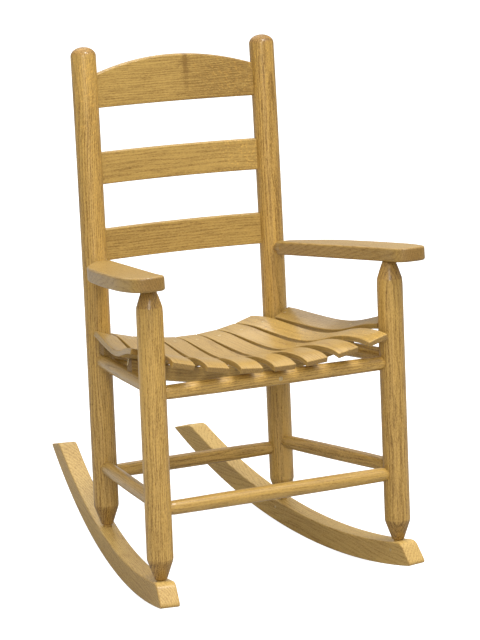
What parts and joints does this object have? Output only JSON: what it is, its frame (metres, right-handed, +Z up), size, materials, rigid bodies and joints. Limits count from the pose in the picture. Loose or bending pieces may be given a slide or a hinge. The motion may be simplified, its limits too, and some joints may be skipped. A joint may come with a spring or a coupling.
{
  "type": "child's ladder-back rocking chair",
  "caption": "Wooden ladder-back rocking chair for a small child, with turned posts and rungs, flat arms that fall to the back, a dished slatted seat and curved rockers.",
  "frame": {"origin": "on the floor under the middle of the chair's bounding box", "axes": "+X to the chair's right seen from the front, the chair faces -Y, +Z up"},
  "size_m": [0.4326, 0.5886, 0.7042],
  "materials": {
    "oak": "clear satin lacquer",
    "pale_oak": "clear semi-gloss lacquer",
    "plated_steel": "brass plating, semi-gloss"
  },
  "bodies": {
    "root": {"arm_left": "pale_oak", "arm_right": "pale_oak", "back_post_left": "oak", "back_post_right": "oak", "front_post_left": "oak", "front_post_right": "oak", "front_rung_screw": "plated_steel", "ladder_slat_crest": "oak", "ladder_slat_lower": "oak", "ladder_slat_middle": "oak", "lower_rung_back": "oak", "lower_rung_front": "oak", "lower_rung_left": "oak", "lower_rung_right": "oak", "rocker_left": "oak", "rocker_pin_back_left": "plated_steel", "rocker_pin_back_right": "plated_steel", "rocker_pin_front_left": "plated_steel", "rocker_pin_front_right": "plated_steel", "rocker_right": "oak", "seat_cleat_front": "oak", "seat_cleat_rear": "oak", "seat_nail_front_1": "plated_steel", "seat_nail_front_2": "plated_steel", "seat_nail_front_3": "plated_steel", "seat_nail_front_4": "plated_steel", "seat_nail_front_5": "plated_steel", "seat_nail_front_6": "plated_steel", "seat_nail_front_7": "plated_steel", "seat_nail_front_8": "plated_steel", "seat_nail_front_9": "plated_steel", "seat_nail_rear_1": "plated_steel", "seat_nail_rear_2": "plated_steel", "seat_nail_rear_3": "plated_steel", "seat_nail_rear_4": "plated_steel", "seat_nail_rear_5": "plated_steel", "seat_nail_rear_6": "plated_steel", "seat_nail_rear_7": "plated_steel", "seat_nail_rear_8": "plated_steel", "seat_nail_rear_9": "plated_steel", "seat_rung_back": "oak", "seat_rung_front": "oak", "seat_rung_left": "oak", "seat_rung_right": "oak", "seat_slat_1": "pale_oak", "seat_slat_2": "pale_oak", "seat_slat_3": "pale_oak", "seat_slat_4": "pale_oak", "seat_slat_5": "pale_oak", "seat_slat_6": "pale_oak", "seat_slat_7": "pale_oak", "seat_slat_8": "pale_oak", "seat_slat_9": "pale_oak"}
  },
  "joints": []
}
